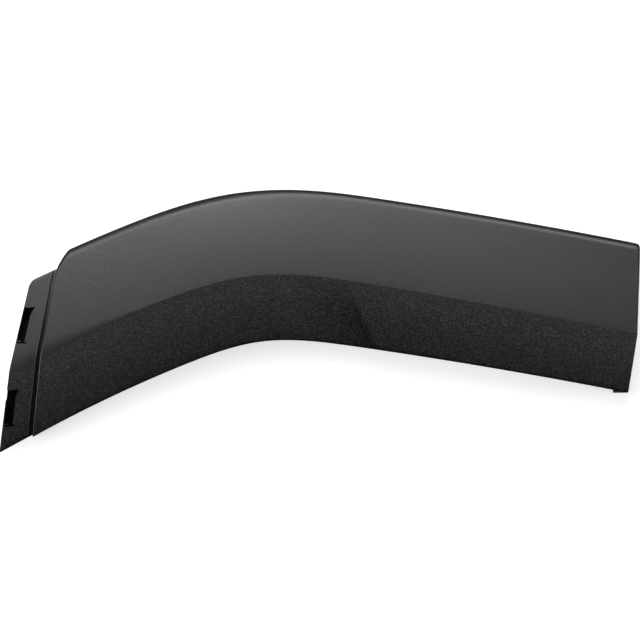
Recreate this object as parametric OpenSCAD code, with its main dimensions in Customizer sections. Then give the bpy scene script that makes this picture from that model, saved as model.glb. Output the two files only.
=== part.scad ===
// Wheel arch trim: one moulded strip of black plastic that covers a stretch of wheel arch.
// It lies on its back with the show face up. +Y is the side that meets the body panel,
// -Y the wheel opening, -X the end that tucks under the next trim, +X the plain end.
// The crease is the ridge that runs the whole length between the upper and the lower band.

/* [Run of the trim] */
// Crease length from the middle of the bend to the step of the overlap end
left_run = 163.8; // [130:0.2:200]
// Crease length from the middle of the bend to the plain end
right_run = 267.3; // [220:0.1:320]
// Heading of the crease in the middle of the bend, in degrees from +X
mid_heading = 4.4; // [0:0.1:8]
// Turn of the bend, in degrees
bend_turn = 25.2; // [18:0.1:30]
// Crease length over which the bend turns
bend_len = 175; // [140:1:220]
// Radius of the slow sweep to the left of the middle
left_sweep_r = 1040; // [800:10:2000]
// Radius of the slow sweep to the right of the middle
right_sweep_r = 4000; // [2000:100:9000]
// Radius of the body side that the trim bows along
body_r = 4500; // [3000:100:9000]

/* [Section] */
// Plan width of the upper band at the overlap end
upper_w_left = 57.5; // [50:0.1:66]
// Plan width of the upper band at the plain end
upper_w_right = 62.8; // [52:0.1:68]
// Plan width of the lower band at the overlap end
lower_w_left = 48.8; // [42:0.1:54]
// Plan width of the lower band at the plain end
lower_w_right = 41; // [36:0.1:50]
// Height of the crease over the edges that rest on the body
crease_h = 34; // [32:0.5:42]
// Slope of the upper band at the crease, in degrees
upper_slope = 5; // [2:0.5:7]
// Crown radius of the upper band
upper_crown_r = 260; // [220:5:600]
// Slope of the lower band at the crease, in degrees
lower_slope = 15; // [11:0.5:17]
// Crown radius of the lower band
lower_crown_r = 170; // [150:5:400]
// Radius of the roll along the upper edge
upper_roll_r = 8; // [5:0.5:10]
// Radius of the roll along the lower edge
lower_roll_r = 3; // [2.9:0.1:5]
// Wall of the moulding
wall = 2.6; // [2:0.1:2.8]
// Rounding of the crease from the bend to the plain end
crease_r = 5; // [3:0.5:12]
// Rounding of the crease at the overlap end, where it fades
crease_r_left = 40; // [15:1:50]
// Crease length over which the rounding tightens
crease_fade = 75; // [40:1:110]

/* [Facet in the lower band] */
// Crease length from the middle of the bend to the facet line
facet_at = 59.2; // [50:0.2:80]
// Length by which the facet line runs on along the lower edge
facet_lead = 32; // [20:0.5:36]
// Crease length over which the band dips before it rises to the facet line
facet_run = 50; // [35:1:70]
// Depth of the dip at the lower edge
facet_dip = 3.2; // [0.5:0.1:3.6]

/* [Ends] */
// Lead of the overlap end along the upper edge
left_lead_top = 40.1; // [25:0.1:45]
// Lag of the overlap end along the lower edge
left_lag_low = 32.7; // [20:0.1:40]
// Lag of the plain end along the upper edge
right_lag_top = 11; // [2:0.5:16]
// Lead of the plain end along the lower edge
right_lead_low = 2.4; // [0:0.1:6]
// Length of the softened upper corner at the overlap end, along the upper edge
corner_run = 7.7; // [4:0.1:10]
// Drop of that corner, down the end
corner_drop = 9.8; // [5:0.1:10]
// Radius of the upper corner at the plain end
plain_corner_r = 2.8; // [1.5:0.1:5]
// Length of the foot at the lower corner of the plain end
foot_len = 10.5; // [6:0.5:16]
// Height of that foot
foot_h = 8; // [4:0.5:12]

/* [Overlap flange] */
// Flange width along the upper edge
flange_w_top = 18.8; // [14:0.1:24]
// Flange width along the crease
flange_w_mid = 24.4; // [18:0.1:28]
// Flange width along the lower edge
flange_w_low = 28.4; // [20:0.1:32]
// Depth of the step from the face down to the flange
step_depth = 2.4; // [1.8:0.1:2.5]
// Thickness of the flange
flange_t = 2.2; // [1.8:0.1:2.6]
// Share of the flange width that the groove along the step takes
groove_share = 0.12; // [0.08:0.01:0.18]
// Depth of that groove under the face of the flange
groove_depth = 2; // [0.5:0.1:2.4]
// Height of the bead along the groove
bead_h = 0.3; // [0.2:0.1:0.5]
// Share of the flange width that the bead takes
bead_share = 0.045; // [0.03:0.005:0.06]
// Distance of the flange's upper edge from the upper edge of the trim
flange_inset_top = 8.3; // [6:0.1:12]
// Distance of the flange's lower edge from the lower edge of the trim
flange_inset_low = 0.8; // [0.5:0.1:4]
// Radius of the flange's upper corner
flange_corner_r = 3.5; // [2:0.1:5]
// Radius of the flange's lower tip
flange_tip_r = 1.2; // [0.5:0.1:2]

/* [Hook slots in the flange] */
// Length of a slot
slot_len = 23.4; // [16:0.1:26]
// Clear width of the upper slot
slot_w_up = 5.1; // [4.5:0.1:6]
// Clear width of the lower slot
slot_w_down = 5.3; // [4.5:0.1:6]
// Width of the bar between the upper slot and the end of the flange
bar_w_up = 0.7; // [0.6:0.1:2]
// Width of the bar between the lower slot and the end of the flange
bar_w_down = 1.4; // [0.7:0.1:2.4]
// Depth that the bar lies under the face of the flange
slot_bar_sink = 1.1; // [0.5:0.1:1.4]
// Distance from the crease up to the upper slot
slot_up = 21; // [16:0.1:24]
// Distance from the crease down to the lower slot
slot_down = 14.8; // [8:0.1:18]
// Length of the gap in the bar of the lower slot
bar_gap = 6.6; // [3:0.1:9]
// Lean of a slot's ends across its width, in degrees
slot_rake = 10; // [0:1:14]
// Reach of the pointed relief at a slot's upper inner corner
relief_reach = 1.6; // [1:0.1:3]
// Height of that relief
relief_h = 4; // [2:0.1:6]
// Rise of that relief's point over the slot's end
relief_rise = 1; // [0.5:0.1:2]
// Height of the slit under a slot
slit_h = 1.1; // [0.8:0.1:1.6]
// Reach of the slit past the inner side of the slot
slit_reach = 1.5; // [1:0.1:2.5]
// Thickness of the tongue between a slot and its slit
tongue_t = 0.9; // [0.7:0.1:1.5]
// Length of that tongue from the bar
tongue_len = 2.4; // [1.5:0.1:4]
// Depth of the pocket behind a slot, under the face of the flange
pocket_depth = 12; // [7:0.5:13]
// Wall of that pocket
pocket_wall = 1.3; // [1:0.1:1.6]

/* [Clip houses on the back] */
// Number of clip houses
clip_count = 4; // [2:1:4]
// Crease length from the step of the overlap end to the first house
clip_margin_left = 57.8; // [52:0.1:64]
// Crease length from the last house to the plain end
clip_margin_right = 49.3; // [42:0.1:56]
// Distance of a house from the crease
clip_off = 28; // [24:0.5:30]
// Length of a house along the trim
clip_len = 20; // [18:0.5:26]
// Depth of a house across the trim
clip_depth = 17; // [15:0.5:20]
// Wall of a house
clip_wall = 1.8; // [1.4:0.1:2.2]
// Thickness of the seat that the clip grips
clip_seat_t = 2.5; // [2:0.1:3]
// Height of the seat over the body
clip_seat_z = 2; // [1:0.5:5]
// Radius of the clip's seat
clip_r = 4; // [3.5:0.1:5]
// Width of the neck that the clip slides in through
clip_neck_w = 4.6; // [4:0.1:5]

/* [Screw holes in the lower return] */
// Radius of a screw hole
screw_r = 3.2; // [2.5:0.1:3.5]
// Radius of the collar round a screw hole
collar_r = 6; // [5:0.1:6.2]
// Thickness of the collar
collar_t = 2; // [1.5:0.1:3]
// Height of a screw hole over the body
screw_z = 7; // [6.8:0.1:7.5]
// Crease length from the step of the overlap end to the first screw hole
screw_margin_left = 81.8; // [78:0.1:84]
// Crease length from the last screw hole to the plain end
screw_margin_right = 61.3; // [56:0.1:66]
// Number of screw holes
screw_count = 3; // [2:1:3]

/* [Ribs on the back] */
// Thickness of a rib
rib_t = 1.5; // [1:0.1:2]
// Height of a rib under the wall
rib_h = 5; // [3:0.5:8]
// Height of a rib's feet over the body
rib_foot = 3; // [1:0.5:5]
// Number of ribs between two houses
rib_count = 2; // [1:1:3]

/* [Hidden] */

plastic = [0.13, 0.13, 0.135];

// Steps along the crease and across the section
path_step = 2;
path_back = 260;
path_ahead = 340;
left_zone = 24;
right_zone = 3.5;
left_steps = 6;
run_steps = 22;
tail_steps = 19;
right_steps = 4;
roll_steps = 5;
band_steps = 5;
lower_steps = 4;
low_roll_steps = 3;
crease_steps = 3;
block_steps = 3;
half_way = 0.5;
groove_flat = 0.75;
tip_steps = 4;
blend = 120;
facet_tail = 160;
facet_peak = 27 / 4;
corner_power = 1.5;
embed = wall / 2;
flange_lap = 0.5;
lap = 0.3;
over = 1;
bore_sides = 48;

// Crease in plan: the heading eases through the bend and sweeps slowly on both sides of it.

function heading(s) =
    let (t = max(-1, min(1, 2 * s / bend_len)))
    let (sweep = s < 0 ? left_sweep_r : right_sweep_r)
    mid_heading - bend_turn * (t + sin(180 * t) / PI) / 2 - 180 / PI * s / sweep;

function along(a) = [cos(a), sin(a)];
function across(a) = [-sin(a), cos(a)];

path_n = (path_back + path_ahead) / path_step;
path_raw = [
    for (i = 0, p = [0, 0];
        i <= path_n;
        p = p + path_step * along(heading((i + 0.5) * path_step - path_back)), i = i + 1)
        p
];
path_zero = path_raw[path_back / path_step];

function crease(s) =
    let (u = (s + path_back) / path_step)
    let (i = floor(u))
    path_raw[i] + (path_raw[i + 1] - path_raw[i]) * (u - i) - path_zero;

function mix(a, b, t) = a + (b - a) * t;
function run_share(s) = (s + left_run) / (left_run + right_run);
function upper_w(s) = mix(upper_w_left, upper_w_right, run_share(s));
function lower_w(s) = mix(lower_w_left, lower_w_right, run_share(s));
function upper_edge(s) = crease(s) + upper_w(s) * across(heading(s));
function lower_edge(s) = crease(s) - lower_w(s) * across(heading(s));

// Rulings: where the section that crosses the crease at s meets the two edges. They lean with
// the ends, stand square in between, and lean again along the facet line in the lower band.

function fade(d, len) = pow(max(0, 1 - d / len), 2);

function s_upper(s) =
    s + left_lead_top * fade(s + left_run, blend) - right_lag_top * fade(right_run - s, blend);

function s_lower(s) =
    s - left_lag_low * fade(s + left_run, blend)
      + right_lead_low * fade(right_run - s, blend)
      + facet_lead * (s < facet_at ? fade(facet_at - s, blend) : fade(s - facet_at, facet_tail));

// Face of the section: x is the distance from the crease, positive towards the upper edge.

function crease_round(s) =
    mix(crease_r_left, crease_r, max(0, min(1, (s + left_run) / crease_fade)));
function crease_half(s) = crease_round(s) * tan((upper_slope + lower_slope) / 2);
function sink(s) =
    let (t = max(0, min(1, (facet_at - s) / facet_run)))
    facet_dip * facet_peak * t * pow(1 - t, 2);
function lower_tan(s) = tan(lower_slope) + sink(s) / lower_w(s);
function upper_z(x) = crease_h - tan(upper_slope) * x - x * x / (2 * upper_crown_r);
function lower_z(x, s) = crease_h + lower_tan(s) * x - x * x / (2 * lower_crown_r);

function face_z(x, s) =
    let (e = crease_half(s), t = (e - x) / (2 * e))
    x >= e ? upper_z(x)
    : x <= -e ? lower_z(x, s)
    : (1 - t) * (1 - t) * upper_z(e) + 2 * t * (1 - t) * crease_h + t * t * lower_z(-e, s);

function face_tilt(x, s) =
    let (e = crease_half(s), up = atan(tan(upper_slope) + max(x, e) / upper_crown_r))
    let (down = -atan(lower_tan(s) + max(-x, e) / lower_crown_r))
    x >= e ? up : x <= -e ? down : mix(down, up, (x + e) / (2 * e));

// Section points as [x, z, tilt]: the outward normal leans by tilt from +Z to the upper edge.

function upper_start(w) = w - upper_roll_r * (1 - sin(face_tilt(w - upper_roll_r, 0)));
function lower_start(w, s) = w - lower_roll_r * (1 - sin(-face_tilt(lower_roll_r - w, s)));

function section(wu, wl, s) =
    let (xu = upper_start(wu), xl = lower_start(wl, s), e = crease_half(s))
    let (tu = face_tilt(xu, s), tl = face_tilt(-xl, s))
    let (cu = [wu - upper_roll_r, face_z(xu, s) - upper_roll_r * cos(tu)])
    let (cl = [lower_roll_r - wl, face_z(-xl, s) - lower_roll_r * cos(tl)])
    concat(
        [[wu, 0, 90]],
        [for (i = [0:roll_steps - 1], a = mix(90, tu, i / roll_steps))
            [cu.x + upper_roll_r * sin(a), cu.y + upper_roll_r * cos(a), a]],
        [for (i = [0:band_steps - 1], x = mix(xu, e, i / band_steps))
            [x, face_z(x, s), face_tilt(x, s)]],
        [for (i = [0:crease_steps - 1], x = mix(e, -e, i / crease_steps))
            [x, face_z(x, s), face_tilt(x, s)]],
        [for (i = [0:lower_steps - 1], x = mix(-e, -xl, i / lower_steps))
            [x, face_z(x, s), face_tilt(x, s)]],
        [for (i = [0:low_roll_steps], a = mix(tl, -90, i / low_roll_steps))
            [cl.x + lower_roll_r * sin(a), cl.y + lower_roll_r * cos(a), a]],
        [[-wl, 0, -90]]
    );

section_n = roll_steps + band_steps + crease_steps + lower_steps + low_roll_steps + 3;

function inward(p, d) = [p.x - d * sin(p.z), p.y - d * cos(p.z)];

// Plan place of a section point between the crease and the two edges of its ruling.

function on_ruling(x, s, su, sl) =
    x >= 0 ? mix(crease(s), upper_edge(su), x / upper_w(su))
    : mix(crease(s), lower_edge(sl), -x / lower_w(sl));

// The body side bows away towards both ends, so all heights follow its radius.

foot_right = max(upper_edge(s_upper(right_run)).x, lower_edge(s_lower(right_run)).x);
foot_left = lower_edge(s_lower(-left_run)).x;
bow_mid = (foot_left + foot_right) / 2;
bow_half = (foot_right - foot_left) / 2;
function bow(x) = (bow_half * bow_half - pow(x - bow_mid, 2)) / (2 * body_r);

function place(plan, z) = [plan.x, plan.y, z + bow(plan.x)];

// Inset of the upper edge in the two upper corners, by distance along that edge from its end.

function soft_corner(d, run, drop, power) =
    d >= run ? 0 : drop * (1 - pow(1 - pow(1 - d / run, power), 1 / power));

function corner_inset(su) =
    soft_corner(su - s_upper(-left_run), corner_run, corner_drop, corner_power)
    + soft_corner(s_upper(right_run) - su, plain_corner_r, plain_corner_r, 2);

// Stations along the crease, closer together in the corners, with one on the facet line.

stations = concat(
    [for (i = [0:left_steps - 1]) left_zone * i / left_steps - left_run],
    [for (i = [0:run_steps - 1]) mix(left_zone - left_run, facet_at, i / run_steps)],
    [for (i = [0:tail_steps - 1]) mix(facet_at, right_run - right_zone, i / tail_steps)],
    [for (i = [0:right_steps]) right_run - right_zone * pow(1 - i / right_steps, 2)]
);

// Ring of points at one station: the face, then the inner side of the wall on the way back.

function ring(s) =
    let (su = s_upper(s), sl = s_lower(s))
    let (pts = section(upper_w(su) - corner_inset(su), lower_w(sl), s))
    concat(
        [for (p = pts) place(on_ruling(p.x, s, su, sl), p.y)],
        [for (i = [section_n - 1:-1:0])
            let (p = pts[i], q = i == 0 || i == section_n - 1 ? [p.x - wall * sin(p.z), 0] : inward(p, wall))
            place(on_ruling(q.x, s, su, sl), q.y)]
    );

// Closed skin over a list of rings of equal length, wound outward.

module loft(rings) {
    n = len(rings[0]);
    m = len(rings);
    half = n / 2;
    sides = [
        for (j = [0:m - 2], i = [0:n - 1])
            let (a = j * n + i, b = j * n + (i + 1) % n)
            each [[a, b + n, b], [a, a + n, b + n]]
    ];
    caps = [
        for (i = [0:half - 2])
            let (a = i, b = i + 1, c = n - 2 - i, d = n - 1 - i, k = (m - 1) * n)
            each [[a, b, c], [a, c, d], [k + a, k + c, k + b], [k + a, k + d, k + c]]
    ];
    polyhedron(points = [for (r = rings) each r], faces = concat(sides, caps));
}

module skin() {
    loft([for (s = stations) ring(s)]);
}

// Overlap flange. t runs from 0 at the step line to 1 at the end, and below 0 under the skin.

function flange_s(t) = -left_run - t * flange_w_mid;
function flange_su(t) = s_upper(-left_run) - t * flange_w_top;
function flange_sl(t) = s_lower(-left_run) - t * flange_w_low;
function flange_plan(x, t) = on_ruling(x, flange_s(t), flange_su(t), flange_sl(t));

function flange_ring(t, top, under) =
    let (s = -left_run, e = crease_half(s))
    let (d = (1 - t) * flange_w_top)
    let (x0 = upper_w_left - flange_inset_top - soft_corner(d, flange_corner_r, flange_corner_r, 2))
    let (x1 = flange_inset_low - lower_w_left + soft_corner(d, flange_tip_r, flange_tip_r, 2))
    let (xs = concat(
        [for (i = [0:band_steps - 1]) mix(x0, e, i / band_steps)],
        [for (i = [0:crease_steps - 1]) mix(e, -e, i / crease_steps)],
        [for (i = [0:lower_steps]) mix(-e, x1, i / lower_steps)]
    ))
    concat(
        [for (x = xs) place(flange_plan(x, t), face_z(x, s) - top)],
        [for (i = [len(xs) - 1:-1:0]) place(flange_plan(xs[i], t), face_z(xs[i], s) - under)]
    );

flange_tips = [
    for (i = [0:tip_steps]) 1 - flange_corner_r / flange_w_top * pow(i / tip_steps, 2)
];

// From the end of the flange inward: the plate, the bead, the groove at the foot of the step, and
// a lap under the skin.
module flange_plate() {
    low = step_depth + flange_t;
    bead_in = groove_share + bead_share;
    loft(concat(
        [for (t = concat(flange_tips, [half_way, bead_in])) flange_ring(t, step_depth, low)],
        [for (t = [mix(groove_share, bead_in, 2 / 3), mix(groove_share, bead_in, 1 / 3)])
            flange_ring(t, step_depth - bead_h, low)],
        [
            flange_ring(groove_share, step_depth, low),
            flange_ring(groove_share * groove_flat, step_depth + groove_depth, low + groove_depth),
            flange_ring(0, step_depth + groove_depth, low + groove_depth),
            flange_ring(-lap / flange_w_mid, embed, low + groove_depth),
            flange_ring(-groove_share, embed, low + groove_depth),
            flange_ring(-2 * groove_share, embed, wall - flange_lap)
        ]
    ));
}

// Frame on the end of the flange: x runs inward across it, y up along it, from a place that
// lies the given distance from the crease along the end.

end_top = flange_plan(upper_w_left, 1);
end_mid = flange_plan(0, 1);
end_low = flange_plan(-lower_w_left, 1);

function end_dir(up) = up ? (end_top - end_mid) / norm(end_top - end_mid)
    : (end_mid - end_low) / norm(end_mid - end_low);
function end_turn(up) = atan2(end_dir(up).y, end_dir(up).x) - 90;
function end_plan(up, dist, x, y) =
    let (dir = end_dir(up))
    end_mid + dir * (up ? dist + y : y - dist) + [dir.y, -dir.x] * x;

module on_flange_end(up, dist) {
    base = end_plan(up, dist, 0, 0);
    translate([base.x, base.y, 0])
        rotate([0, 0, end_turn(up)])
            children();
}

// Height of the flange's face at a place in plan.
function flange_z(plan) =
    let (s = -left_run - flange_w_mid / 2, off = plan - crease(s))
    face_z(off * across(heading(s)), -left_run) - step_depth + bow(plan.x);

// Block on the end of the flange between two depths under its face, which it follows.
module face_block(up, dist, x, y, depth) {
    function corner(i, j, d) =
        let (plan = end_plan(up, dist, x[i], mix(y[0], y[1], j / block_steps)))
        [plan.x, plan.y, flange_z(plan) - d];
    loft([
        for (j = [0:block_steps])
            [corner(0, j, depth[0]), corner(1, j, depth[0]), corner(1, j, depth[1]), corner(0, j, depth[1])]
    ]);
}

function bar_w(up) = up ? bar_w_up : bar_w_down;
function slot_in(up) = up ? bar_w_up + slot_w_up : bar_w_down + slot_w_down;
function relief_in(up) = slot_in(up) + relief_reach;
function slit_in(up) = slot_in(up) + slit_reach;
function lean(up, x) = (x - bar_w(up)) * tan(slot_rake);
function relief_top(up) = slot_len + lean(up, relief_in(up)) + relief_rise;

function pocket_x(up) = [lap, max(relief_in(up), slit_in(up)) + pocket_wall];
function pocket_y(up) = [-tongue_t - slit_h - pocket_wall, relief_top(up) + pocket_wall];

// Walls of the pocket behind a slot, solid until the slot is cut.
module pocket_block(up, dist) {
    face_block(up, dist, pocket_x(up), pocket_y(up), [flange_t / 2, pocket_depth + pocket_wall / 2]);
}

module pocket_floor(up, dist) {
    face_block(up, dist, pocket_x(up) + [lap, -lap], pocket_y(up) + [lap, -lap],
        [pocket_depth, pocket_depth + pocket_wall]);
}

module slot_cut(up, dist) {
    bar = bar_w(up);
    tongue = bar + tongue_len;
    slit = slit_in(up);
    on_flange_end(up, dist)
        linear_extrude(2 * crease_h)
            polygon([
                [bar, 0],
                [tongue, lean(up, tongue)],
                [tongue, lean(up, tongue) - tongue_t],
                [bar, -tongue_t],
                [bar, -tongue_t - slit_h],
                [slit, lean(up, slit) - tongue_t - slit_h],
                [slit, lean(up, slit) - tongue_t],
                [slot_in(up), lean(up, slot_in(up)) - tongue_t],
                [slot_in(up), slot_len - relief_h],
                [relief_in(up), relief_top(up)],
                [bar, slot_len]
            ]);
    face_block(up, dist, [-over, bar + lap], [0, slot_len], [-crease_h, slot_bar_sink]);
}

slot_low = slot_down + slot_len;

module hook_slots() {
    slot_cut(true, slot_up);
    slot_cut(false, slot_low);
    on_flange_end(false, slot_low)
        translate([-over, slot_len - bar_gap, 0])
            cube([over + bar_w(false) + lap, bar_gap, 2 * crease_h]);
}

module overlap_flange() {
    difference() {
        union() {
            flange_plate();
            pocket_block(true, slot_up);
            pocket_block(false, slot_low);
        }
        hook_slots();
    }
    pocket_floor(true, slot_up);
    pocket_floor(false, slot_low);
}

// Frame on the back: x runs along the crease, y towards the upper edge, z up from the body.

function back_point(s, off) = crease(s) + off * across(heading(s));

module on_back(s, off) {
    p = back_point(s, off);
    translate([p.x, p.y, 0])
        rotate([0, 0, heading(s)])
            children();
}

function back_bow(s, off) = bow(back_point(s, off).x);

// Slab that stands across the trim, from a list of [distance from the crease, height] points.
module cross_slab(thickness, points) {
    rotate([90, 0, 90])
        translate([0, 0, -thickness / 2])
            linear_extrude(thickness)
                polygon(points);
}

module clip_house(s) {
    y0 = clip_off - clip_depth / 2;
    y1 = clip_off + clip_depth / 2;
    base = clip_seat_z + back_bow(s, clip_off);
    outer = [for (y = [y1, clip_off, y0]) [y, face_z(y, s) + back_bow(s, y) - embed]];
    for (side = [-1, 1])
        on_back(s, 0)
            translate([side * (clip_len - clip_wall) / 2, 0, 0])
                cross_slab(clip_wall, concat([[y0, base], [y1, base]], outer));
    on_back(s, 0) {
        top = face_z(y1, s) + back_bow(s, y1) - embed;
        translate([-clip_len / 2, y1 - clip_wall, base])
            cube([clip_len, clip_wall, top - base]);
        translate([-clip_len / 2, y0, base])
            difference() {
                cube([clip_len, clip_depth, clip_seat_t]);
                translate([clip_len / 2, clip_depth / 2, -over]) {
                    cylinder(h = clip_seat_t + 2 * over, r = clip_r, $fn = bore_sides);
                    translate([-clip_neck_w / 2, -clip_depth, 0])
                        cube([clip_neck_w, clip_depth, clip_seat_t + 2 * over]);
                }
            }
    }
}

module on_return(s) {
    z = screw_z + back_bow(s, -lower_w(s));
    on_back(s, -lower_w(s))
        translate([0, 0, z])
            rotate([-90, 0, 0])
                children();
}

module rib(s) {
    wu = upper_w(s);
    wl = lower_w(s);
    pts = section(wu, wl, s);
    skin_side = [
        for (i = [1:section_n - 2])
            let (q = inward(pts[i], embed))
            [q.x, q.y + back_bow(s, q.x)]
    ];
    deep = wall + rib_h;
    free_side = [
        for (p = pts)
            let (q = inward(p, deep))
            if (abs(p.x) > deep && q.x < wu - deep && q.x > deep - wl) [q.x, q.y + back_bow(s, q.x)]
    ];
    foot_u = rib_foot + back_bow(s, wu);
    foot_l = rib_foot + back_bow(s, -wl);
    on_back(s, 0)
        cross_slab(rib_t, concat(
            [[wu - embed, foot_u]],
            skin_side,
            [[embed - wl, foot_l], [deep - wl, foot_l]],
            [for (i = [len(free_side) - 1:-1:0]) free_side[i]],
            [[wu - deep, foot_u]]
        ));
}

// Houses and screws are spaced evenly between margins at the two ends, ribs between the houses.
function spread(count, first, last) = [for (i = [0:count - 1]) mix(first, last, i / (count - 1))];

clip_places = spread(clip_count, clip_margin_left - left_run, right_run - clip_margin_right);
screw_places = spread(screw_count, screw_margin_left - left_run, right_run - screw_margin_right);
rib_places = [
    for (i = [0:clip_count - 2], j = [1:rib_count])
        mix(clip_places[i], clip_places[i + 1], j / (rib_count + 1))
];

// Foot at the lower corner of the plain end.
module end_foot() {
    corner = lower_edge(s_lower(right_run));
    translate([corner.x - foot_len, corner.y, bow(corner.x)])
        cube([foot_len - lap, lower_roll_r + wall, foot_h]);
}

// Plan box of the trim, for the origin in the middle of its footprint.
outline = concat(
    [for (s = stations) each ring(s)],
    [for (t = flange_tips) each flange_ring(t, 0, 0)]
);
box_x = [for (p = outline) p.x];
box_y = [for (p = outline) p.y];
middle = [(min(box_x) + max(box_x)) / 2, (min(box_y) + max(box_y)) / 2];

module wheel_arch_trim() {
    color(plastic)
        translate([-middle.x, -middle.y, 0])
            difference() {
                union() {
                    skin();
                    overlap_flange();
                    end_foot();
                    for (s = clip_places)
                        clip_house(s);
                    for (s = rib_places)
                        rib(s);
                    for (s = screw_places)
                        on_return(s)
                            translate([0, 0, embed])
                                cylinder(h = wall - embed + collar_t, r = collar_r, $fn = bore_sides);
                }
                for (s = screw_places)
                    on_return(s)
                        translate([0, 0, -over])
                            cylinder(h = wall + collar_t + 2 * over, r = screw_r, $fn = bore_sides);
            }
}

wheel_arch_trim();
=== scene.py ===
import math

import bmesh
import bpy
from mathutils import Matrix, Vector


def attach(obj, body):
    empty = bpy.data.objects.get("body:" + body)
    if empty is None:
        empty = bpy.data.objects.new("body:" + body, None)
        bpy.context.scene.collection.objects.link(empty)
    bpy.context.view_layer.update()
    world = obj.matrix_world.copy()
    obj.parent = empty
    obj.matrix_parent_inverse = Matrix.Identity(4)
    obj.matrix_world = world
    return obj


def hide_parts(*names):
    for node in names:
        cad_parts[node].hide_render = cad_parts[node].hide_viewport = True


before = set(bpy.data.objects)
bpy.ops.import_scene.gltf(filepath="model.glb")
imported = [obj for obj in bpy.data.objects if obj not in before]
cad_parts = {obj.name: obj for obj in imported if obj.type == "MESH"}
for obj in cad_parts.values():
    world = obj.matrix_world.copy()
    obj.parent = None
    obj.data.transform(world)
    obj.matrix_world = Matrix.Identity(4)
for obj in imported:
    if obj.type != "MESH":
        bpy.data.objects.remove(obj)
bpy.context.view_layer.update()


# ---------------------------------------------------------------- run of the trim
# The trim follows the wheel arch: its crease line eases through one bend and sweeps slowly on
# both sides of it, and the body side that it lies along bows away towards both ends.
# It is one injection moulding, so every piece below is the same black plastic. Sizes in mm.

MM = 0.001
LEFT_RUN, RIGHT_RUN = 163.8, 267.3
MID_HEADING, BEND_TURN, BEND_LEN = 4.4, 25.2, 175.0
LEFT_SWEEP, RIGHT_SWEEP = 1040.0, 4000.0
BODY_SWEEP = 4500.0
PATH_STEP, PATH_BACK, PATH_AHEAD = 2, 260, 340

# Middle of the footprint in plan, which becomes the origin; middle and half span of the bow.
MIDDLE_X, MIDDLE_Y = 41.424, -31.561
BOW_MIDDLE, BOW_HALF = 52.977, 212.711


def heading(s):
    turned = max(-1.0, min(1.0, 2 * s / BEND_LEN))
    eased = (turned + math.sin(math.pi * turned) / math.pi) / 2
    sweep = math.degrees(s / (LEFT_SWEEP if s < 0 else RIGHT_SWEEP))
    return math.radians(MID_HEADING - BEND_TURN * eased - sweep)


def along(angle):
    return Vector((math.cos(angle), math.sin(angle)))


def across(angle):
    return Vector((-math.sin(angle), math.cos(angle)))


crease_path = [Vector((0, 0))]
for i in range((PATH_BACK + PATH_AHEAD) // PATH_STEP):
    way = along(heading((i + 0.5) * PATH_STEP - PATH_BACK))
    crease_path.append(crease_path[-1] + PATH_STEP * way)
crease_start = crease_path[PATH_BACK // PATH_STEP]


def crease(s):
    u = (s + PATH_BACK) / PATH_STEP
    i = int(math.floor(u))
    return crease_path[i].lerp(crease_path[i + 1], u - i) - crease_start


def bow(x):
    return (BOW_HALF ** 2 - (x - BOW_MIDDLE) ** 2) / (2 * BODY_SWEEP)


def in_metres(plan, height):
    """A place in plan and its height over the resting edges, bowed and moved to the origin."""
    return Vector((plan.x - MIDDLE_X, plan.y - MIDDLE_Y, height + bow(plan.x))) * MM


# ---------------------------------------------------------------- show face and its skin
# The face is two crowned bands that meet in a crease, soft at the overlap end and crisp from the
# bend on. Both long edges roll down to the body. The moulding is a 2.6 mm wall of polypropylene.

UPPER_W_LEFT, UPPER_W_RIGHT = 57.5, 62.8
LOWER_W_LEFT, LOWER_W_RIGHT = 48.8, 41.0
CREASE_H = 34.0
UPPER_SLOPE, LOWER_SLOPE = math.tan(math.radians(5)), math.tan(math.radians(15))
UPPER_CROWN, LOWER_CROWN = 260.0, 170.0
UPPER_ROLL, LOWER_ROLL = 8.0, 3.0
WALL = 2.6
CREASE_R, CREASE_R_LEFT, CREASE_FADE = 5.0, 40.0, 75.0
CREASE_HALF_TURN = math.tan(math.radians(10))
FACET_AT, FACET_LEAD = 59.2, 32.0
FACET_RUN, FACET_DIP, FACET_PEAK = 50.0, 3.2, 6.75
LEFT_LEAD_TOP, LEFT_LAG_LOW = 40.1, 32.7
RIGHT_LAG_TOP, RIGHT_LEAD_LOW = 11.0, 2.4
CORNER_RUN, CORNER_DROP, PLAIN_CORNER = 7.7, 9.8, 2.8
BLEND, FACET_TAIL = 120.0, 160.0
FOOT_EDGE, END_EDGE = 0.4, 0.8
SHARP_TURN = math.radians(40)

# Mesh steps across the rolls and the bands, and rows and zones along the trim.
UPPER_ROLL_STEPS, LOWER_ROLL_STEPS = 9, 6
UPPER_STEPS, CREASE_STEPS, LOWER_STEPS = 14, 6, 12
LEFT_ZONE, LEFT_ROWS, MIDDLE_ROWS, TAIL_ROWS = 24, 16, 66, 68
RIGHT_ZONE, RIGHT_END, RIGHT_ROWS, FIRST_ROW = 3.5, 1, 5, 0.2


def mix(a, b, t):
    return a + (b - a) * t


def upper_w(s):
    return mix(UPPER_W_LEFT, UPPER_W_RIGHT, (s + LEFT_RUN) / (LEFT_RUN + RIGHT_RUN))


def lower_w(s):
    return mix(LOWER_W_LEFT, LOWER_W_RIGHT, (s + LEFT_RUN) / (LEFT_RUN + RIGHT_RUN))


def fade(distance, length):
    return max(0.0, 1 - distance / length) ** 2


def s_upper(s):
    lead, lag = fade(s + LEFT_RUN, BLEND), fade(RIGHT_RUN - s, BLEND)
    return s + LEFT_LEAD_TOP * lead - RIGHT_LAG_TOP * lag


def s_lower(s):
    facet = fade(FACET_AT - s, BLEND) if s < FACET_AT else fade(s - FACET_AT, FACET_TAIL)
    ends = RIGHT_LEAD_LOW * fade(RIGHT_RUN - s, BLEND) - LEFT_LAG_LOW * fade(s + LEFT_RUN, BLEND)
    return s + ends + FACET_LEAD * facet


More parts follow.
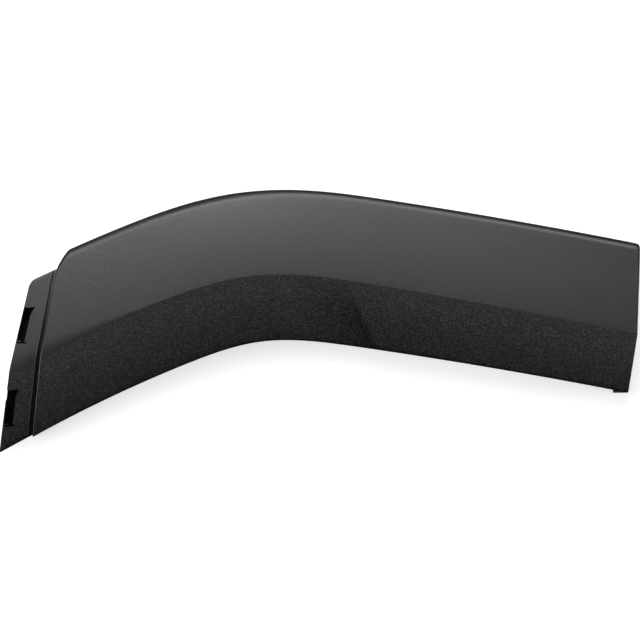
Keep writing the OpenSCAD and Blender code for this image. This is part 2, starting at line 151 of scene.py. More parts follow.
def crease_half(s):
    radius = mix(CREASE_R_LEFT, CREASE_R, max(0.0, min(1.0, (s + LEFT_RUN) / CREASE_FADE)))
    return radius * CREASE_HALF_TURN


def lower_tan(s):
    away = max(0.0, min(1.0, (FACET_AT - s) / FACET_RUN))
    return LOWER_SLOPE + FACET_DIP * FACET_PEAK * away * (1 - away) ** 2 / lower_w(s)


def face_z(x, s):
    """Height of the show face at x mm from the crease, towards the upper edge."""
    e = crease_half(s)

    def upper(d):
        return CREASE_H - UPPER_SLOPE * d - d * d / (2 * UPPER_CROWN)

    def lower(d):
        return CREASE_H + lower_tan(s) * d - d * d / (2 * LOWER_CROWN)

    if x >= e:
        return upper(x)
    if x <= -e:
        return lower(x)
    t = (e - x) / (2 * e)
    return (1 - t) ** 2 * upper(e) + 2 * t * (1 - t) * CREASE_H + t * t * lower(-e)


def upper_tilt(x):
    return math.atan(UPPER_SLOPE + x / UPPER_CROWN)


def lower_tilt(x, s):
    return math.atan(lower_tan(s) + x / LOWER_CROWN)


def face_tilt(x, s):
    e = crease_half(s)
    if x >= e:
        return upper_tilt(x)
    if x <= -e:
        return -lower_tilt(-x, s)
    return mix(-lower_tilt(e, s), upper_tilt(e), (x + e) / (2 * e))


def section(wu, wl, s):
    """Points (x, z, tilt) across the face, from the upper foot over the crease to the lower."""
    e = crease_half(s)
    xu = wu - UPPER_ROLL * (1 - math.sin(upper_tilt(wu - UPPER_ROLL)))
    xl = wl - LOWER_ROLL * (1 - math.sin(lower_tilt(wl - LOWER_ROLL, s)))
    tu, tl = upper_tilt(xu), lower_tilt(xl, s)
    cu = (wu - UPPER_ROLL, face_z(xu, s) - UPPER_ROLL * math.cos(tu))
    cl = (LOWER_ROLL - wl, face_z(-xl, s) - LOWER_ROLL * math.cos(tl))
    points = [(wu, FOOT_EDGE, math.pi / 2), (wu, cu[1] * 0.5, math.pi / 2)]
    for i in range(UPPER_ROLL_STEPS):
        a = mix(math.pi / 2, tu, i / UPPER_ROLL_STEPS)
        points.append((cu[0] + UPPER_ROLL * math.sin(a), cu[1] + UPPER_ROLL * math.cos(a), a))
    spans = [(xu, e, UPPER_STEPS), (e, -e, CREASE_STEPS), (-e, -xl, LOWER_STEPS)]
    for start, end, steps in spans:
        for i in range(steps):
            x = mix(start, end, i / steps)
            points.append((x, face_z(x, s), face_tilt(x, s)))
    for i in range(LOWER_ROLL_STEPS + 1):
        a = mix(tl, math.pi / 2, i / LOWER_ROLL_STEPS)
        points.append((cl[0] - LOWER_ROLL * math.sin(a), cl[1] + LOWER_ROLL * math.cos(a), -a))
    return points + [(-wl, cl[1] * 0.5, -math.pi / 2), (-wl, FOOT_EDGE, -math.pi / 2)]


def wall_loop(points, outer, inner):
    """The face points sunk by outer, then the inner side at the depth inner, with eased feet."""

    def sunk(depth):
        return [(x - depth * math.sin(a), z - depth * math.cos(a)) for x, z, a in points]

    def foot(start, end):
        ease = min(FOOT_EDGE, abs(end - start) / 2) * (1 if end > start else -1)
        bend, low = ease * 0.3, FOOT_EDGE * 0.3
        return [(start + bend, low), (start + ease, 0.0), (end - ease, 0.0), (end - bend, low)]

    out, back = sunk(outer), sunk(inner)[::-1]
    return out + foot(out[-1][0], back[0][0]) + back + foot(back[-1][0], out[0][0])


def eased_end(radius, steps=4):
    """Distance from an end and drop of the face there, round the radius a mould leaves."""
    turns = [math.pi / 2 * i / steps for i in range(steps + 1)]
    return [(radius * (1 - math.cos(a)), radius * (1 - math.sin(a))) for a in turns]


def on_ruling(x, s, su, sl):
    """Plan place of x on the ruling that crosses the crease at s and ends at su and sl."""
    if x >= 0:
        return crease(s).lerp(crease(su) + upper_w(su) * across(heading(su)), x / upper_w(su))
    return crease(s).lerp(crease(sl) - lower_w(sl) * across(heading(sl)), -x / lower_w(sl))


def soft_corner(d, run, drop, power):
    return 0.0 if d >= run else drop * (1 - (1 - (1 - d / run) ** power) ** (1 / power))


def corner_inset(su):
    left = soft_corner(su - s_upper(-LEFT_RUN), CORNER_RUN, CORNER_DROP, 1.5)
    return left + soft_corner(s_upper(RIGHT_RUN) - su, PLAIN_CORNER, PLAIN_CORNER, 2)


def stepped(start, end, steps):
    return [mix(start, end, i / steps) for i in range(steps)]


def closed_skin(rows, columns, place):
    """A grid wrapped round, each point where place(row, column) says; the ends draw together."""
    tube = bmesh.new()
    bmesh.ops.create_grid(tube, x_segments=rows - 1, y_segments=columns, size=1)
    for v in tube.verts:
        row = round((v.co.x + 1) / 2 * (rows - 1))
        column = round((v.co.y + 1) / 2 * columns) % columns
        v.co = place(row, column)
    bmesh.ops.remove_doubles(tube, verts=tube.verts, dist=1e-7)
    bmesh.ops.recalc_face_normals(tube, faces=tube.faces)
    for face in tube.faces:
        face.smooth = True
    return tube


def in_object(name, mesh_in_progress):
    mesh = bpy.data.meshes.new(name)
    mesh_in_progress.to_mesh(mesh)
    mesh_in_progress.free()
    piece = bpy.data.objects.new(name, mesh)
    bpy.context.scene.collection.objects.link(piece)
    return piece


def as_piece(name, mesh_in_progress):
    piece = in_object(name, mesh_in_progress)
    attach(piece, "root")
    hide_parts("wheel_arch_trim")
    return piece


def crisp_edges(piece):
    """Shades the piece smooth up to edges that turn by more than 40 degrees."""
    shaded = bmesh.new()
    shaded.from_mesh(piece.data)
    for edge in shaded.edges:
        if edge.calc_face_angle(0) > SHARP_TURN:
            edge.smooth = False
    for face in shaded.faces:
        face.smooth = True
    shaded.to_mesh(piece.data)
    shaded.free()


def ease_edges(piece, width):
    """The small radius that a mould leaves on every edge."""
    edge = piece.modifiers.new("moulded edge", "BEVEL")
    edge.width = width * MM
    edge.segments = 2
    edge.limit_method = "ANGLE"
    edge.angle_limit = SHARP_TURN


def carve(piece, operation, tool_mesh):
    """Joins a closed solid to a piece or cuts it away, and keeps the result as the piece's mesh."""
    bmesh.ops.recalc_face_normals(tool_mesh, faces=tool_mesh.faces)
    tool = in_object("carving tool", tool_mesh)
    step = piece.modifiers.new("carve", "BOOLEAN")
    step.operation = operation
    step.solver = "EXACT"
    step.object = tool
    graph = bpy.context.evaluated_depsgraph_get()
    graph.update()
    carved = bpy.data.meshes.new_from_object(piece.evaluated_get(graph))
    piece.modifiers.clear()
    piece.data = carved
    bpy.data.objects.remove(tool)


left_edge = [(d - LEFT_RUN, drop) for d, drop in eased_end(END_EDGE)]
right_edge = [(RIGHT_RUN - d, drop) for d, drop in eased_end(END_EDGE)][::-1]
along_face = (
    stepped(left_edge[-1][0] + FIRST_ROW, LEFT_ZONE - LEFT_RUN, LEFT_ROWS)
    + stepped(LEFT_ZONE - LEFT_RUN, FACET_AT, MIDDLE_ROWS)
    + stepped(FACET_AT, RIGHT_RUN - RIGHT_ZONE, TAIL_ROWS)
    + stepped(RIGHT_RUN - RIGHT_ZONE, RIGHT_RUN - RIGHT_END, RIGHT_ROWS)
)
stations = left_edge + [(s, 0.0) for s in along_face] + right_edge
rulings = [(s, s_upper(s), s_lower(s)) for s, drop in stations]
loops = [
    wall_loop(section(upper_w(su) - corner_inset(su), lower_w(sl), s), drop, WALL - drop / 3)
    for (s, su, sl), (_, drop) in zip(rulings, stations)
]
for end in (0, -1):
    s, su, sl = rulings[end]
    points = section(upper_w(su) - corner_inset(su), lower_w(sl), s)
    loops.insert(0 if end == 0 else len(loops), wall_loop(points, WALL / 2, WALL / 2))
    rulings.insert(0 if end == 0 else len(rulings), rulings[end])


def skin_place(row, column):
    x, z = loops[row][column]
    return in_metres(on_ruling(x, *rulings[row]), z)


skin_mesh = closed_skin(len(loops), len(loops[0]), skin_place)

# The facet line is a crisp edge over the outer side of the lower band.
face_points = len(section(UPPER_W_LEFT, LOWER_W_LEFT, 0.0))
facet_row = [s for s, su, sl in rulings].index(FACET_AT)
facet_line = [skin_place(facet_row, c) for c in range(face_points) if loops[facet_row][c][0] < 0]
for edge in skin_mesh.edges:
    if all(min((v.co - p).length for p in facet_line) < 1e-6 for v in edge.verts):
        edge.smooth = False

skin = as_piece("show_face_skin", skin_mesh)


# ---------------------------------------------------------------- screw holes
# Three plain holes in the lower return take screws or push rivets into the arch liner. A collar
# moulded round each on the inside backs up the thin wall.

SCREW_R, COLLAR_R, COLLAR_T, SCREW_Z = 3.2, 6.0, 2.0, 7.0
COLLAR_LAP, COLLAR_EASE, DRILL_LEN, ROUND_STEPS = 0.2, 0.4, 8, 48
SCREW_PLACES = (-82.0, 62.0, 206.0)


def at_crease(s, x, y, height):
    """A place x along and y across the trim from the crease at s, at an unbowed height."""
    plan = crease(s) + x * along(heading(s)) + y * across(heading(s))
    return Vector((plan.x - MIDDLE_X, plan.y - MIDDLE_Y, height)) * MM


def bow_at(s, y):
    return bow((crease(s) + y * across(heading(s))).x)


collars = bmesh.new()
for s in SCREW_PLACES:
    lip = -lower_w(s)
    height = SCREW_Z + bow_at(s, lip)
    inward = (at_crease(s, 0, lip + 1, height) - at_crease(s, 0, lip, height)).normalized()
    hole = bmesh.new()
    bmesh.ops.create_cone(
        hole, cap_ends=True, segments=ROUND_STEPS,
        radius1=SCREW_R * MM, radius2=SCREW_R * MM, depth=DRILL_LEN * MM
    )
    turn = inward.to_track_quat("Z", "Y").to_matrix()
    bmesh.ops.rotate(hole, verts=hole.verts, matrix=turn)
    bmesh.ops.translate(hole, verts=hole.verts, vec=at_crease(s, 0, lip + WALL / 2, height))
    carve(skin, "DIFFERENCE", hole)

    root, rim = WALL - COLLAR_LAP, WALL + COLLAR_T
    profile = [
        (SCREW_R, root), (COLLAR_R, root), (COLLAR_R, rim - COLLAR_EASE),
        (COLLAR_R - COLLAR_EASE, rim), (SCREW_R, rim),
    ]
    outline = [collars.verts.new(at_crease(s, 0, lip + h, height + r)) for r, h in profile]
    edges = [collars.edges.new(ends) for ends in zip(outline, outline[1:] + outline[:1])]
    bmesh.ops.spin(
        collars, geom=outline + edges, cent=at_crease(s, 0, lip, height), axis=inward,
        angle=math.tau, steps=ROUND_STEPS, use_merge=True, use_duplicate=False
    )
bmesh.ops.remove_doubles(collars, verts=collars.verts, dist=1e-6)
bmesh.ops.recalc_face_normals(collars, faces=collars.faces)
screw_collars = as_piece("screw_collars", collars)


# ---------------------------------------------------------------- overlap flange
# The end that tucks under the next trim: a thinner plate that drops from the face over a short
# step, with a rounded upper corner and a pointed lower tip.

FLANGE_W_TOP, FLANGE_W_MID, FLANGE_W_LOW = 18.8, 24.4, 28.4
STEP_DEPTH, FLANGE_T, STEP_SHARE = 2.4, 2.2, 0.12
FLANGE_INSET_TOP, FLANGE_INSET_LOW = 8.3, 0.8
FLANGE_CORNER, FLANGE_TIP = 3.5, 1.2
GROOVE, BEAD = 2.0, 0.3
PLATE_EDGE = 0.35


def flange_ruling(t):
    top = s_upper(-LEFT_RUN) - t * FLANGE_W_TOP
    low = s_lower(-LEFT_RUN) - t * FLANGE_W_LOW
    return -LEFT_RUN - t * FLANGE_W_MID, top, low


# Each row is a share of the flange's width from the step, and the depths of its two sides.
under = STEP_DEPTH + FLANGE_T
corner_share = FLANGE_CORNER / FLANGE_W_TOP
flange_rows = [(1.0, STEP_DEPTH + FLANGE_T / 2, STEP_DEPTH + FLANGE_T / 2)]
for d, drop in eased_end(PLATE_EDGE, 3):
    flange_rows.append((1 - d / FLANGE_W_MID, STEP_DEPTH + drop, under))
flange_rows += [(1 - corner_share * (i / 8) ** 2, STEP_DEPTH, under) for i in range(3, 9)]
flange_rows += [(t, STEP_DEPTH, under) for t in (0.66, 0.5, 0.34, 0.2, 0.175, 0.165)]
flange_rows += [(0.158, STEP_DEPTH - BEAD * 0.7, under), (0.1425, STEP_DEPTH - BEAD, under)]
flange_rows += [(0.127, STEP_DEPTH - BEAD * 0.7, under), (STEP_SHARE, STEP_DEPTH, under)]
flange_rows += [(t, STEP_DEPTH + GROOVE, under + GROOVE) for t in (0.09, 0.0)]
flange_rows += [(t, WALL / 2, under + GROOVE) for t in (-0.012, -STEP_SHARE)]
flange_rows += [(-2 * STEP_SHARE, WALL / 2, WALL / 2)]

# Each column is a share of the way down the flange, and its inset and drop on the eased edges.
flange_across = [(0.0, 0.0, 1.0), (0.0, 0.3, 0.3), (0.0, 1.0, 0.0)]
flange_across += [(i / 36, 0.0, 0.0) for i in range(1, 36)]
flange_across += [(1.0, -1.0, 0.0), (1.0, -0.3, 0.3), (1.0, 0.0, 1.0)]


def flange_place(row, column):
    t, top, bottom = flange_rows[row]
    on_top = column < len(flange_across)
    share, inset, drop = flange_across[column if on_top else 2 * len(flange_across) - 1 - column]
    d = (1 - t) * FLANGE_W_TOP
    x_top = UPPER_W_LEFT - FLANGE_INSET_TOP - soft_corner(d, FLANGE_CORNER, FLANGE_CORNER, 2)
    x_low = FLANGE_INSET_LOW - LOWER_W_LEFT + soft_corner(d, FLANGE_TIP, FLANGE_TIP, 2)
    x = mix(x_top, x_low, share) - inset * PLATE_EDGE
    depth = min(top + drop * PLATE_EDGE, bottom) if on_top else bottom
    return in_metres(on_ruling(x, *flange_ruling(t)), face_z(x, -LEFT_RUN) - depth)


flange_mesh = closed_skin(len(flange_rows), 2 * len(flange_across), flange_place)
flange = as_piece("overlap_flange", flange_mesh)


# ---------------------------------------------------------------- hook slots
# Two slots near the end of the flange catch the hooks of the next trim. Each has a thin sunken
# bar towards the end, a pointed relief, a short tongue over a slit, and a blind pocket behind.

SLOT_LEN = 23.4
SLOT_WIDTHS, BAR_WIDTHS = (5.3, 5.1), (1.4, 0.7)
BAR_SINK, BAR_GAP = 1.1, 6.6
SLOT_UP, SLOT_DOWN = 21.0, 14.8
RAKE = math.tan(math.radians(10))
RELIEF_REACH, RELIEF_H, RELIEF_RISE = 1.6, 4.0, 1.0
SLIT_H, SLIT_REACH = 1.1, 1.5
TONGUE_T, TONGUE_LEN = 0.9, 2.4
POCKET_DEPTH, POCKET_WALL = 12.0, 1.3
LAP, CLEAR = 0.3, 12.0
# Painted shade: the share of the bar's sink from which a face counts as inside a slot, the shade
# painted into the groove, and where along Y in mm it starts and the run over which it thickens.
SLOT_FROM, GROOVE_SHADE, SHADE_TOP, SHADE_RUN = 0.8, 0.7, 25, 31

end_top = on_ruling(UPPER_W_LEFT, *flange_ruling(1))
end_mid = on_ruling(0, *flange_ruling(1))
end_low = on_ruling(-LOWER_W_LEFT, *flange_ruling(1))


def at_end(upper, x, y):
    """Plan place x in from the flange's end and y up along it from the lower end of a slot."""
    up = (end_top - end_mid).normalized() if upper else (end_mid - end_low).normalized()
    start = SLOT_UP if upper else -SLOT_DOWN - SLOT_LEN
    return end_mid + up * (start + y) + Vector((up.y, -up.x)) * x


def flange_face(plan):
    s = -LEFT_RUN - FLANGE_W_MID / 2
    return face_z((plan - crease(s)).dot(across(heading(s))), -LEFT_RUN) - STEP_DEPTH


def flange_block(upper, x, y, depth):
    """A block between two depths under the flange's face, which it follows."""
    block = bmesh.new()
    bmesh.ops.create_cube(block, size=1)
    bmesh.ops.subdivide_edges(block, edges=block.edges, cuts=3, use_grid_fill=True)
    for v in block.verts:
        plan = at_end(upper, mix(*x, v.co.x + 0.5), mix(*y, v.co.y + 0.5))
        v.co = in_metres(plan, flange_face(plan) - mix(*depth, 0.5 - v.co.z))
    return block


for upper in (False, True):
    bar = BAR_WIDTHS[upper]
    inner = bar + SLOT_WIDTHS[upper]
    relief, slit, tongue = inner + RELIEF_REACH, inner + SLIT_REACH, bar + TONGUE_LEN

    def lean(x):
        return (x - bar) * RAKE

    relief_top = SLOT_LEN + lean(relief) + RELIEF_RISE
    pocket_x = (LAP, relief + POCKET_WALL)
    pocket_y = (-TONGUE_T - SLIT_H - POCKET_WALL, relief_top + POCKET_WALL)
    pocket = flange_block(upper, pocket_x, pocket_y, (FLANGE_T / 2, POCKET_DEPTH + POCKET_WALL))
    carve(flange, "UNION", pocket)

    slot_outline = [
        (bar, 0), (tongue, lean(tongue)), (tongue, lean(tongue) - TONGUE_T), (bar, -TONGUE_T),
        (bar, -TONGUE_T - SLIT_H), (slit, lean(slit) - TONGUE_T - SLIT_H),
        (slit, lean(slit) - TONGUE_T), (inner, lean(inner) - TONGUE_T),
        (inner, SLOT_LEN - RELIEF_H), (relief, relief_top), (bar, SLOT_LEN),
    ]
    slot = bmesh.new()
    rim = []
    for x, y in slot_outline:
        plan = at_end(upper, x, y)
        rim.append(slot.verts.new(in_metres(plan, flange_face(plan) + CLEAR)))
    mouth = slot.faces.new(rim)
    sunk = bmesh.ops.extrude_face_region(slot, geom=[mouth], use_keep_orig=True)
    deep = [v for v in sunk["geom"] if isinstance(v, bmesh.types.BMVert)]
    bmesh.ops.translate(slot, verts=deep, vec=(0, 0, -(CLEAR + POCKET_DEPTH) * MM))
    carve(flange, "DIFFERENCE", slot)
    sunk_bar = flange_block(upper, (-CLEAR, bar + LAP), (0, SLOT_LEN), (-CLEAR, BAR_SINK))
    carve(flange, "DIFFERENCE", sunk_bar)
gap_x = (-CLEAR, BAR_WIDTHS[False] + LAP)
gap = flange_block(False, gap_x, (SLOT_LEN - BAR_GAP, SLOT_LEN), (-CLEAR, CLEAR))
carve(flange, "DIFFERENCE", gap)
crisp_edges(flange)


def under_face(place):
    """A place in metres, back in plan, and its depth under the flange's face."""
    plan = Vector((place.x / MM + MIDDLE_X, place.y / MM + MIDDLE_Y))
    return plan, flange_face(plan) - (place.z / MM - bow(plan.x))


def inside_slot(place):
    plan, depth = under_face(place)
    if depth < BAR_SINK * SLOT_FROM:
        return False
    for upper in (False, True):
        start = at_end(upper, 0, 0)
        in_x = (plan - start).dot(at_end(upper, 1, 0) - start)
        in_y = (plan - start).dot(at_end(upper, 0, 1) - start)
        reach = BAR_WIDTHS[upper] + SLOT_WIDTHS[upper] + RELIEF_REACH
        if -1 < in_x < reach and -TONGUE_T - SLIT_H < in_y < SLOT_LEN + 2 * RELIEF_RISE:
            return True
    return False


def shade_in_groove(place):
    """How much shade is painted into the groove along the step, more so towards its lower end."""
    plan, depth = under_face(place)
    if depth < GROOVE / 2:
        return 0.0
    return GROOVE_SHADE * max(0.0, min(1.0, (SHADE_TOP - place.y / MM) / SHADE_RUN))


# Painted shade: the insides of the slots and the lower end of the groove along the step are painted
# dark and dull, where shade falls.
painted_recess_shade = flange.data.attributes.new("painted_recess_shade", "FLOAT", "FACE")
for face in flange.data.polygons:
    in_shaded_slot = inside_slot(face.center)
    painted_recess_shade.data[face.index].value = 1.0 if in_shaded_slot else shade_in_groove(face.center)


# ---------------------------------------------------------------- clip houses
# Four open boxes moulded on the back hold the panel clips: each clip slides in through the neck
# of a keyhole in the house's floor, and its stem reaches down to the body.

CLIP_PLACES = (-106.0, 2.0, 110.0, 218.0)
CLIP_OFF, CLIP_LEN, CLIP_DEPTH, CLIP_WALL = 28.0, 20.0, 17.0, 1.8
SEAT_T, SEAT_Z = 2.5, 2.0
CLIP_R, NECK_W = 4.0, 4.6


def slab(mesh, corners, thickness):
    """A flat plate: one face on its corners, extruded by the thickness vector."""
    face = mesh.faces.new([mesh.verts.new(c) for c in corners])
    grown = bmesh.ops.extrude_face_region(mesh, geom=[face], use_keep_orig=True)
    moved = [v for v in grown["geom"] if isinstance(v, bmesh.types.BMVert)]
    bmesh.ops.translate(mesh, verts=moved, vec=thickness)


houses = bmesh.new()
for s in CLIP_PLACES:
    y0, y1 = CLIP_OFF - CLIP_DEPTH / 2, CLIP_OFF + CLIP_DEPTH / 2
    base = SEAT_Z + bow_at(s, CLIP_OFF)
    roof = [(y, face_z(y, s) + bow_at(s, y) - WALL / 2) for y in (y1, CLIP_OFF, y0)]
    side = [(y0, base), (y1, base)] + roof
    one_mm = at_crease(s, 1, 0, 0) - at_crease(s, 0, 0, 0)
    for x in (-CLIP_LEN / 2, CLIP_LEN / 2 - CLIP_WALL):
        slab(houses, [at_crease(s, x, y, z) for y, z in side], one_mm * CLIP_WALL)
    outer, top = y1 - LAP / 2, roof[0][1]
    back = [(y1 - CLIP_WALL, base), (outer, base), (outer, top), (y1 - CLIP_WALL, top)]
    half = CLIP_LEN / 2 - LAP / 2
    slab(houses, [at_crease(s, -half, y, z) for y, z in back], one_mm * 2 * half)
    mouth = math.asin(NECK_W / 2 / CLIP_R)
    arc = [mix(-math.pi / 2 - mouth, -math.pi / 2 + mouth - math.tau, i / 40) for i in range(41)]
    keyhole = [(CLIP_R * math.cos(a), CLIP_OFF + CLIP_R * math.sin(a)) for a in arc]
    seat = [(-half, y0 + LAP / 2), (-NECK_W / 2, y0 + LAP / 2)] + keyhole
    seat += [(NECK_W / 2, y0 + LAP / 2), (half, y0 + LAP / 2), (half, y1 - LAP), (-half, y1 - LAP)]
    slab(houses, [at_crease(s, x, y, base + LAP / 4) for x, y in seat], Vector((0, 0, SEAT_T * MM)))
bmesh.ops.recalc_face_normals(houses, faces=houses.faces)
clip_houses = as_piece("clip_houses", houses)
ease_edges(clip_houses, 0.2)


# ---------------------------------------------------------------- ribs
# Low ribs stand across the back between the houses, from one return to the other, and keep the
# long wall from twisting.

RIB_PLACES = (-70.0, -34.0, 38.0, 74.0, 146.0, 182.0)
RIB_T, RIB_H, RIB_FOOT = 1.5, 5.0, 3.0
DEEP = WALL + RIB_H
CLOSING_IN = 12  # Rounds that bring the crossing to rest.


def sunk_by_facet(s, x):
    """How far the leaning dip beside the facet line lies under the straight section at s."""
    share = max(0.0, -x / lower_w(s))
    crossing = s
    for _ in range(CLOSING_IN):
        crossing = s - (s_lower(crossing) - crossing) * share
    return max(0.0, face_z(x, s) - face_z(x, crossing))


ribs = bmesh.new()
for s in RIB_PLACES:
    wu, wl = upper_w(s), lower_w(s)
    points = section(wu, wl, s)
    skin_side, free_side = [], []
    for x, z, tilt in points[1:-1]:
        y, height = x - WALL / 2 * math.sin(tilt), z - WALL / 2 * math.cos(tilt)
        height -= sunk_by_facet(s, x)
        skin_side.append((y, height + bow_at(s, y)))
        y, height = x - DEEP * math.sin(tilt), z - DEEP * math.cos(tilt)
        if abs(x) > DEEP and DEEP - wl < y < wu - DEEP:
            free_side.append((y, height + bow_at(s, y)))
    foot_u, foot_l = RIB_FOOT + bow_at(s, wu), RIB_FOOT + bow_at(s, -wl)
    outline = [(wu - WALL / 2, foot_u)] + skin_side[1:-1]
    outline += [(WALL / 2 - wl, foot_l), (DEEP - wl, foot_l)]
    outline += free_side[::-1] + [(wu - DEEP, foot_u)]
    one_mm = at_crease(s, 1, 0, 0) - at_crease(s, 0, 0, 0)
    slab(ribs, [at_crease(s, -RIB_T / 2, y, z) for y, z in outline], one_mm * RIB_T)
bmesh.ops.recalc_face_normals(ribs, faces=ribs.faces)
cross_ribs = as_piece("cross_ribs", ribs)


# ---------------------------------------------------------------- end foot
# A small solid foot under the lower corner of the plain end, where the trim bears on the body.

FOOT_LEN, FOOT_H = 10.5, 8.0

corner = on_ruling(-lower_w(s_lower(RIGHT_RUN)), *rulings[-1])
foot_mesh = bmesh.new()
bmesh.ops.create_cube(foot_mesh, size=1)
for v in foot_mesh.verts:
    x = corner.x + mix(-FOOT_LEN, -LAP, v.co.x + 0.5)
    y = corner.y + (v.co.y + 0.5) * (LOWER_ROLL + WALL)
    z = bow(corner.x) + (v.co.z + 0.5) * FOOT_H
    v.co = Vector((x - MIDDLE_X, y - MIDDLE_Y, z)) * MM
end_foot = as_piece("end_foot", foot_mesh)
ease_edges(end_foot, 0.3)


# ---------------------------------------------------------------- plastic
# Black textured polypropylene, moulded in colour: a fine spark-eroded grain, a satin sheen that
# is a little uneven where the part has been handled, and no paint.

# Painted glints and painted shade on the side that faces down: where they start and are full, by
# the way a face turns, and where they thin out.
GLINTS_FROM, GLINTS_RUN = 0.02, 0.28
LEFT_FROM, LEFT_RUN_OUT, STEEP_FROM, STEEP_RUN_OUT, GLINTS_LOST = 0.14, 0.15, 0.88, 0.3, 0.6

plastic = bpy.data.materials.new("trim_plastic")
plastic.use_nodes = True
nodes, links = plastic.node_tree.nodes, plastic.node_tree.links
shader = nodes["Principled BSDF"]
place_in_part = nodes.new("ShaderNodeTexCoord")


def noise(scale, detail, roughness=0.5):
    made = nodes.new("ShaderNodeTexNoise")
    made.inputs["Scale"].default_value = scale
    made.inputs["Detail"].default_value = detail
    made.inputs["Roughness"].default_value = roughness
    links.new(place_in_part.outputs["Object"], made.inputs["Vector"])
    return made.outputs["Fac"]


def ranged(value, start, end, to_start=0, to_end=1):
    made = nodes.new("ShaderNodeMapRange")
    made.inputs["From Min"].default_value = start
    made.inputs["From Max"].default_value = end
    made.inputs["To Min"].default_value = to_start
    made.inputs["To Max"].default_value = to_end
    links.new(value, made.inputs["Value"])
    return made.outputs["Result"]


def on_surface(attribute):
    made = nodes.new("ShaderNodeAttribute")
    made.attribute_name = attribute
    return made.outputs["Fac"]


def towards_grey(share, base, grey):
    made = nodes.new("ShaderNodeMix")
    made.data_type = "RGBA"
    made.inputs["B"].default_value = (grey, grey, grey, 1)
    links.new(share, made.inputs["Factor"])
    links.new(base, made.inputs["A"])
    return made.outputs["Result"]


grain_relief = nodes.new("ShaderNodeBump")
grain_relief.inputs["Strength"].default_value = 0.4
grain_relief.inputs["Distance"].default_value = 0.0003
links.new(noise(1000, 3, 0.6), grain_relief.inputs["Height"])
links.new(grain_relief.outputs["Normal"], shader.inputs["Normal"])

handling = noise(22, 5)
# Painted shade: the slot insides and the lower end of the groove are made duller, less glossy and
# near black, where shade falls.
recess_shade_share = on_surface("painted_recess_shade")
dulled = nodes.new("ShaderNodeMix")
dulled.inputs["B"].default_value = 0.7
links.new(recess_shade_share, dulled.inputs["Factor"])
links.new(ranged(handling, 0.3, 0.7, 0.3, 0.36), dulled.inputs["A"])
links.new(dulled.outputs["Result"], shader.inputs["Roughness"])
links.new(ranged(recess_shade_share, 0, 1, 0.5, 0.1), shader.inputs["Specular IOR Level"])

# Painted glints: fine pale specks are painted into the grain of the lower band, the side that faces
# down, and that side's colour is painted darker as painted shade. There are fewer on the steep
# lower roll and left of the facet line.
for piece in (skin, flange):
    painted_glints_and_shade = piece.data.attributes.new("painted_glints_and_shade", "FLOAT", "POINT")
    for vertex in piece.data.vertices:
        way = vertex.normal
        lost = max((-LEFT_FROM - way.x) / LEFT_RUN_OUT, (STEEP_FROM - way.z) / STEEP_RUN_OUT)
        full = max(0.0, min(1.0, (-GLINTS_FROM - way.y) / GLINTS_RUN))
        kept = 1 - GLINTS_LOST * max(0.0, min(1.0, lost))
        painted_glints_and_shade.data[vertex.index].value = full * kept

painted_down_side = on_surface("painted_glints_and_shade")
painted_glints = nodes.new("ShaderNodeMath")
painted_glints.operation = "MULTIPLY"
links.new(ranged(noise(1300, 1), 0.46, 0.72), painted_glints.inputs[0])
links.new(painted_down_side, painted_glints.inputs[1])

tone = nodes.new("ShaderNodeMix")
tone.data_type = "RGBA"
tone.inputs["A"].default_value = (0.011, 0.011, 0.012, 1)
tone.inputs["B"].default_value = (0.017, 0.017, 0.018, 1)
links.new(handling, tone.inputs["Factor"])
# Painted shade on the side that faces down, then painted glints over it.
shaded = towards_grey(ranged(painted_down_side, 0, 0.4), tone.outputs["Result"], 0.001)
glinted = towards_grey(painted_glints.outputs["Value"], shaded, 0.065)
# Painted shade: near black in the slots and the groove.
links.new(towards_grey(recess_shade_share, glinted, 0.004), shader.inputs["Base Color"])

for piece in (skin, screw_collars, flange, clip_houses, cross_ribs, end_foot):
    piece.data.materials.clear()
    piece.data.materials.append(plastic)


# ---------------------------------------------------------------- studio
# White paper under the trim, large soft windows ahead and to the left, and a dim room. The paper
# shows white to the camera and sends only a little light up into the trim's shaded side.

floor_mesh = bmesh.new()
bmesh.ops.create_grid(floor_mesh, x_segments=1, y_segments=1, size=30)
floor = in_object("floor", floor_mesh)

PAPER_DARK, PAPER_PALE, PAPER_GLOW = 0.04, 0.75, 0.6

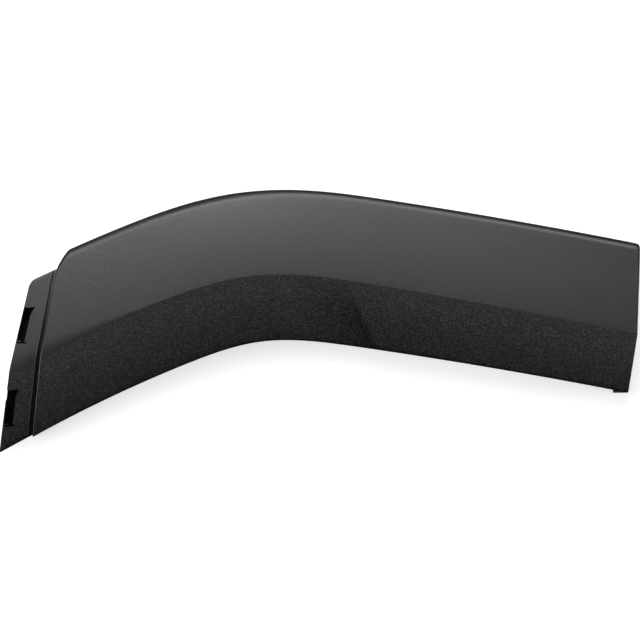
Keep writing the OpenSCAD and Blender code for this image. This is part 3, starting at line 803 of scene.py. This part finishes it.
paper = bpy.data.materials.new("studio_paper")
paper.use_nodes = True
nodes, links = paper.node_tree.nodes, paper.node_tree.links
ground = nodes["Principled BSDF"]
ground.inputs["Roughness"].default_value = 0.9
ground.inputs["Specular IOR Level"].default_value = 0
seen = nodes.new("ShaderNodeLightPath")
paper_tone = nodes.new("ShaderNodeMix")
paper_tone.data_type = "RGBA"
paper_tone.inputs["A"].default_value = (PAPER_DARK, PAPER_DARK, PAPER_DARK, 1)
paper_tone.inputs["B"].default_value = (PAPER_PALE, PAPER_PALE, PAPER_PALE, 1)
links.new(seen.outputs["Is Camera Ray"], paper_tone.inputs["Factor"])
links.new(paper_tone.outputs["Result"], ground.inputs["Base Color"])
lift = nodes.new("ShaderNodeMath")
lift.operation = "MULTIPLY"
lift.inputs[1].default_value = PAPER_GLOW
links.new(seen.outputs["Is Camera Ray"], lift.inputs[0])
ground.inputs["Emission Color"].default_value = (1, 1, 1, 1)
links.new(lift.outputs["Value"], ground.inputs["Emission Strength"])
floor.data.materials.append(paper)


# Square soft lamps on a dome round the part: name, azimuth and elevation in degrees, watts.
LAMP_SIZE, LAMP_FAR = 1.3, 2.2
LAMPS = (
    ("window", 105, 38, 23),
    ("skylight", 90, 55, 9),
    ("low_ahead", 80, 15, 23),
    ("low_left", 135, 15, 18),
    ("ceiling_ahead", 120, 72, 6.5),
    ("ceiling_behind", 285, 70, 2.9),
    ("wall_behind", 278, 50, 1.2),
    ("side_left", 188, 8, 45),
    ("side_right", -6, 8, 40),
)
for name, azimuth, elevation, watts in LAMPS:
    lamp = bpy.data.lights.new(name, "AREA")
    lamp.shape = "SQUARE"
    lamp.size = LAMP_SIZE
    lamp.energy = watts
    stand = bpy.data.objects.new(name, lamp)
    a, e = math.radians(azimuth), math.radians(elevation)
    out = Vector((math.cos(a) * math.cos(e), math.sin(a) * math.cos(e), math.sin(e)))
    stand.location = out * LAMP_FAR
    stand.rotation_mode = "QUATERNION"
    stand.rotation_quaternion = out.to_track_quat("Z", "Y")
    bpy.context.scene.collection.objects.link(stand)

room = bpy.data.worlds.new("room")
room.use_nodes = True
room.node_tree.nodes["Background"].inputs["Color"].default_value = (0.002, 0.002, 0.002, 1)
bpy.context.scene.world = room

bpy.context.scene.view_settings.view_transform = "Standard"

# A long lens straight above, as in the photograph. It takes in VIEW_WIDTH at AIM_HEIGHT.
VIEW_WIDTH, AIM_HEIGHT, LENS, SENSOR = 0.448, 0.012, 1000, 36
camera = bpy.data.cameras.new("camera")
camera.lens = LENS
camera.sensor_width = SENSOR
camera.clip_end = 40
eye = bpy.data.objects.new("camera", camera)
eye.location = (0.00023, 0.00072, AIM_HEIGHT + VIEW_WIDTH * LENS / SENSOR)
bpy.context.scene.collection.objects.link(eye)
bpy.context.scene.camera = eye
